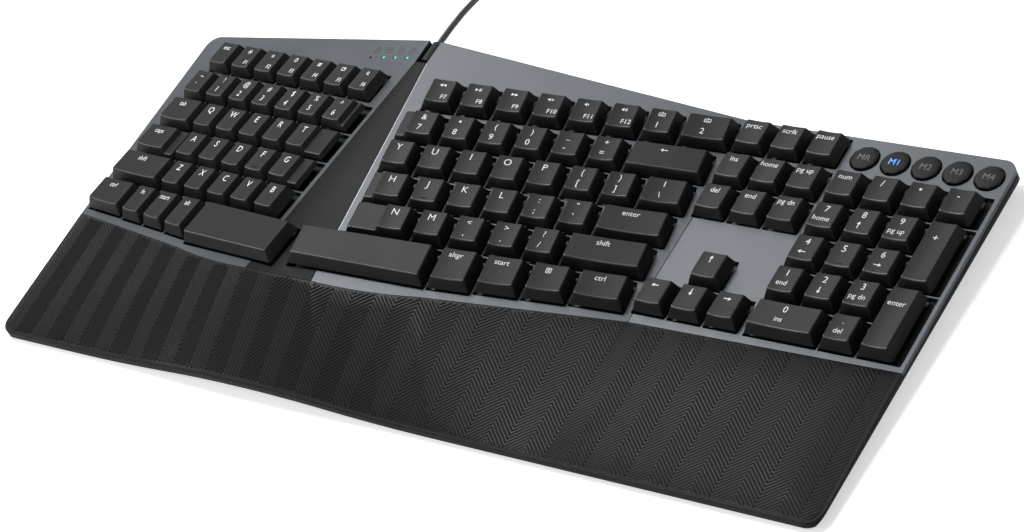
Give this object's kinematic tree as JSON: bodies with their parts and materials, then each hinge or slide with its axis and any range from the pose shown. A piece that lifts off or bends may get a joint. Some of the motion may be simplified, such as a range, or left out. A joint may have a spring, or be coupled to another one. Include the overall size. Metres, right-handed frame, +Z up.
{
  "type": "ergonomic keyboard",
  "caption": "Full-size ergonomic keyboard with two splayed, raised key halves, a flat number pad, a fixed ribbed palm rest and a cable at the back.",
  "frame": {"origin": "middle of the footprint, on the table", "axes": "+X to the typist's right along the width, +Y to the back, +Z up"},
  "size_m": [0.4736, 0.3609, 0.0405],
  "materials": {
    "case_black": "satin",
    "deck_grey": "satin",
    "wedge_grey": "satin",
    "rest_black": "matte",
    "key_black": "satin",
    "button_grey": "gloss",
    "board_dark": "matte",
    "switch_dark": "matte",
    "screw_steel": "satin",
    "rubber_black": "matte",
    "lamp_cyan": "gloss",
    "cable_black": "gloss",
    "tie_black": "matte",
    "plug_steel": "satin"
  },
  "bodies": {
    "base": {"bottom_case": "case_black", "left_top_plate": "deck_grey", "right_top_plate": "deck_grey", "numpad_top_plate": "deck_grey", "centre_wedge": "wedge_grey", "palm_rest_pad": "rest_black", "left_switch_board": "board_dark", "right_switch_board": "board_dark", "numpad_switch_board": "board_dark", "left_switches": "switch_dark", "right_switches": "switch_dark", "numpad_switches": "switch_dark", "case_screws": "screw_steel", "rubber_feet": "rubber_black", "indicator_lenses": "lamp_cyan", "cable_grommet": "rubber_black", "cable": "cable_black", "cable_coil": "cable_black", "cable_tie": "tie_black", "usb_plug_body": "cable_black", "usb_plug_shell": "plug_steel"},
    "escape_key": {"escape_key": "key_black"},
    "left_function_keys": {"left_function_keys": "key_black"},
    "left_number_keys": {"left_number_keys": "key_black"},
    "tab_key": {"tab_key": "key_black"},
    "left_upper_letter_keys": {"left_upper_letter_keys": "key_black"},
    "caps_lock_key": {"caps_lock_key": "key_black"},
    "left_home_letter_keys": {"left_home_letter_keys": "key_black"},
    "left_shift_key": {"left_shift_key": "key_black"},
    "left_lower_letter_keys": {"left_lower_letter_keys": "key_black"},
    "left_modifier_keys": {"left_modifier_keys": "key_black"},
    "left_space_bar": {"left_space_bar": "key_black"},
    "right_function_keys": {"right_function_keys": "key_black"},
    "right_number_keys": {"right_number_keys": "key_black"},
    "backspace_key": {"backspace_key": "key_black"},
    "right_upper_letter_keys": {"right_upper_letter_keys": "key_black"},
    "right_home_letter_keys": {"right_home_letter_keys": "key_black"},
    "enter_key": {"enter_key": "key_black"},
    "right_lower_letter_keys": {"right_lower_letter_keys": "key_black"},
    "right_shift_key": {"right_shift_key": "key_black"},
    "right_space_bar": {"right_space_bar": "key_black"},
    "right_modifier_keys": {"right_modifier_keys": "key_black"},
    "system_keys": {"system_keys": "key_black"},
    "navigation_keys": {"navigation_keys": "key_black"},
    "up_arrow_key": {"up_arrow_key": "key_black"},
    "left_arrow_key": {"left_arrow_key": "key_black"},
    "down_arrow_key": {"down_arrow_key": "key_black"},
    "right_arrow_key": {"right_arrow_key": "key_black"},
    "numpad_small_keys": {"numpad_small_keys": "key_black"},
    "numpad_zero_key": {"numpad_zero_key": "key_black"},
    "numpad_plus_key": {"numpad_plus_key": "key_black"},
    "numpad_enter_key": {"numpad_enter_key": "key_black"},
    "record_button": {"record_button": "button_grey"},
    "macro_button_1": {"macro_button_1": "button_grey"},
    "macro_button_2": {"macro_button_2": "button_grey"},
    "macro_button_3": {"macro_button_3": "button_grey"},
    "macro_button_4": {"macro_button_4": "button_grey"},
    "left_fold_out_leg": {"left_fold_out_leg": "case_black"},
    "right_fold_out_leg": {"right_fold_out_leg": "case_black"}
  },
  "joints": [
    {"name": "escape_key_travel", "type": "slide", "parent": "base", "child": "escape_key", "axis": [-0.1426, -0.038, 0.989], "range_m": [-0.0022, 0], "stiffness_N_per_m": 300},
    {"name": "left_function_keys_travel", "type": "slide", "parent": "base", "child": "left_function_keys", "axis": [-0.1426, -0.038, 0.989], "range_m": [-0.0022, 0], "stiffness_N_per_m": 1800},
    {"name": "left_number_keys_travel", "type": "slide", "parent": "base", "child": "left_number_keys", "axis": [-0.1426, -0.038, 0.989], "range_m": [-0.0022, 0], "stiffness_N_per_m": 2100},
    {"name": "tab_key_travel", "type": "slide", "parent": "base", "child": "tab_key", "axis": [-0.1426, -0.038, 0.989], "range_m": [-0.0022, 0], "stiffness_N_per_m": 300},
    {"name": "left_upper_letter_keys_travel", "type": "slide", "parent": "base", "child": "left_upper_letter_keys", "axis": [-0.1426, -0.038, 0.989], "range_m": [-0.0022, 0], "stiffness_N_per_m": 1500},
    {"name": "caps_lock_key_travel", "type": "slide", "parent": "base", "child": "caps_lock_key", "axis": [-0.1426, -0.038, 0.989], "range_m": [-0.0022, 0], "stiffness_N_per_m": 300},
    {"name": "left_home_letter_keys_travel", "type": "slide", "parent": "base", "child": "left_home_letter_keys", "axis": [-0.1426, -0.038, 0.989], "range_m": [-0.0022, 0], "stiffness_N_per_m": 1500},
    {"name": "left_shift_key_travel", "type": "slide", "parent": "base", "child": "left_shift_key", "axis": [-0.1426, -0.038, 0.989], "range_m": [-0.0022, 0], "stiffness_N_per_m": 300},
    {"name": "left_lower_letter_keys_travel", "type": "slide", "parent": "base", "child": "left_lower_letter_keys", "axis": [-0.1426, -0.038, 0.989], "range_m": [-0.0022, 0], "stiffness_N_per_m": 1500},
    {"name": "left_modifier_keys_travel", "type": "slide", "parent": "base", "child": "left_modifier_keys", "axis": [-0.1426, -0.038, 0.989], "range_m": [-0.0022, 0], "stiffness_N_per_m": 1200},
    {"name": "left_space_bar_travel", "type": "slide", "parent": "base", "child": "left_space_bar", "axis": [-0.1426, -0.038, 0.989], "range_m": [-0.0022, 0], "stiffness_N_per_m": 300},
    {"name": "right_function_keys_travel", "type": "slide", "parent": "base", "child": "right_function_keys", "axis": [0.1426, -0.038, 0.989], "range_m": [-0.0022, 0], "stiffness_N_per_m": 2400},
    {"name": "right_number_keys_travel", "type": "slide", "parent": "base", "child": "right_number_keys", "axis": [0.1426, -0.038, 0.989], "range_m": [-0.0022, 0], "stiffness_N_per_m": 1800},
    {"name": "backspace_key_travel", "type": "slide", "parent": "base", "child": "backspace_key", "axis": [0.1426, -0.038, 0.989], "range_m": [-0.0022, 0], "stiffness_N_per_m": 300},
    {"name": "right_upper_letter_keys_travel", "type": "slide", "parent": "base", "child": "right_upper_letter_keys", "axis": [0.1426, -0.038, 0.989], "range_m": [-0.0022, 0], "stiffness_N_per_m": 2400},
    {"name": "right_home_letter_keys_travel", "type": "slide", "parent": "base", "child": "right_home_letter_keys", "axis": [0.1426, -0.038, 0.989], "range_m": [-0.0022, 0], "stiffness_N_per_m": 1800},
    {"name": "enter_key_travel", "type": "slide", "parent": "base", "child": "enter_key", "axis": [0.1426, -0.038, 0.989], "range_m": [-0.0022, 0], "stiffness_N_per_m": 300},
    {"name": "right_lower_letter_keys_travel", "type": "slide", "parent": "base", "child": "right_lower_letter_keys", "axis": [0.1426, -0.038, 0.989], "range_m": [-0.0022, 0], "stiffness_N_per_m": 1500},
    {"name": "right_shift_key_travel", "type": "slide", "parent": "base", "child": "right_shift_key", "axis": [0.1426, -0.038, 0.989], "range_m": [-0.0022, 0], "stiffness_N_per_m": 300},
    {"name": "right_space_bar_travel", "type": "slide", "parent": "base", "child": "right_space_bar", "axis": [0.1426, -0.038, 0.989], "range_m": [-0.0022, 0], "stiffness_N_per_m": 300},
    {"name": "right_modifier_keys_travel", "type": "slide", "parent": "base", "child": "right_modifier_keys", "axis": [0.1426, -0.038, 0.989], "range_m": [-0.0022, 0], "stiffness_N_per_m": 1200},
    {"name": "system_keys_travel", "type": "slide", "parent": "base", "child": "system_keys", "axis": [0, -0.0384, 0.9993], "range_m": [-0.0022, 0], "stiffness_N_per_m": 900},
    {"name": "navigation_keys_travel", "type": "slide", "parent": "base", "child": "navigation_keys", "axis": [0, -0.0384, 0.9993], "range_m": [-0.0022, 0], "stiffness_N_per_m": 1800},
    {"name": "up_arrow_key_travel", "type": "slide", "parent": "base", "child": "up_arrow_key", "axis": [0, -0.0384, 0.9993], "range_m": [-0.0022, 0], "stiffness_N_per_m": 300},
    {"name": "left_arrow_key_travel", "type": "slide", "parent": "base", "child": "left_arrow_key", "axis": [0, -0.0384, 0.9993], "range_m": [-0.0022, 0], "stiffness_N_per_m": 300},
    {"name": "down_arrow_key_travel", "type": "slide", "parent": "base", "child": "down_arrow_key", "axis": [0, -0.0384, 0.9993], "range_m": [-0.0022, 0], "stiffness_N_per_m": 300},
    {"name": "right_arrow_key_travel", "type": "slide", "parent": "base", "child": "right_arrow_key", "axis": [0, -0.0384, 0.9993], "range_m": [-0.0022, 0], "stiffness_N_per_m": 300},
    {"name": "numpad_small_keys_travel", "type": "slide", "parent": "base", "child": "numpad_small_keys", "axis": [0, -0.0384, 0.9993], "range_m": [-0.0022, 0], "stiffness_N_per_m": 4200},
    {"name": "numpad_zero_key_travel", "type": "slide", "parent": "base", "child": "numpad_zero_key", "axis": [0, -0.0384, 0.9993], "range_m": [-0.0022, 0], "stiffness_N_per_m": 300},
    {"name": "numpad_plus_key_travel", "type": "slide", "parent": "base", "child": "numpad_plus_key", "axis": [0, -0.0384, 0.9993], "range_m": [-0.0022, 0], "stiffness_N_per_m": 300},
    {"name": "numpad_enter_key_travel", "type": "slide", "parent": "base", "child": "numpad_enter_key", "axis": [0, -0.0384, 0.9993], "range_m": [-0.0022, 0], "stiffness_N_per_m": 300},
    {"name": "record_button_travel", "type": "slide", "parent": "base", "child": "record_button", "axis": [0, -0.0384, 0.9993], "range_m": [-0.0006, 0], "stiffness_N_per_m": 300},
    {"name": "macro_button_1_travel", "type": "slide", "parent": "base", "child": "macro_button_1", "axis": [0, -0.0384, 0.9993], "range_m": [-0.0006, 0], "stiffness_N_per_m": 300},
    {"name": "macro_button_2_travel", "type": "slide", "parent": "base", "child": "macro_button_2", "axis": [0, -0.0384, 0.9993], "range_m": [-0.0006, 0], "stiffness_N_per_m": 300},
    {"name": "macro_button_3_travel", "type": "slide", "parent": "base", "child": "macro_button_3", "axis": [0, -0.0384, 0.9993], "range_m": [-0.0006, 0], "stiffness_N_per_m": 300},
    {"name": "macro_button_4_travel", "type": "slide", "parent": "base", "child": "macro_button_4", "axis": [0, -0.0384, 0.9993], "range_m": [-0.0006, 0], "stiffness_N_per_m": 300},
    {"name": "left_fold_out_leg_hinge", "type": "hinge", "parent": "base", "child": "left_fold_out_leg", "pos_m": [-0.18825, 0.0845, 0.00285], "axis": [1, 0, 0], "range_deg": [0, 90], "stiffness_Nm_per_rad": 0.02},
    {"name": "right_fold_out_leg_hinge", "type": "hinge", "parent": "base", "child": "right_fold_out_leg", "pos_m": [0.17775, 0.0845, 0.00285], "axis": [1, 0, 0], "range_deg": [0, 90], "stiffness_Nm_per_rad": 0.02}
  ]
}
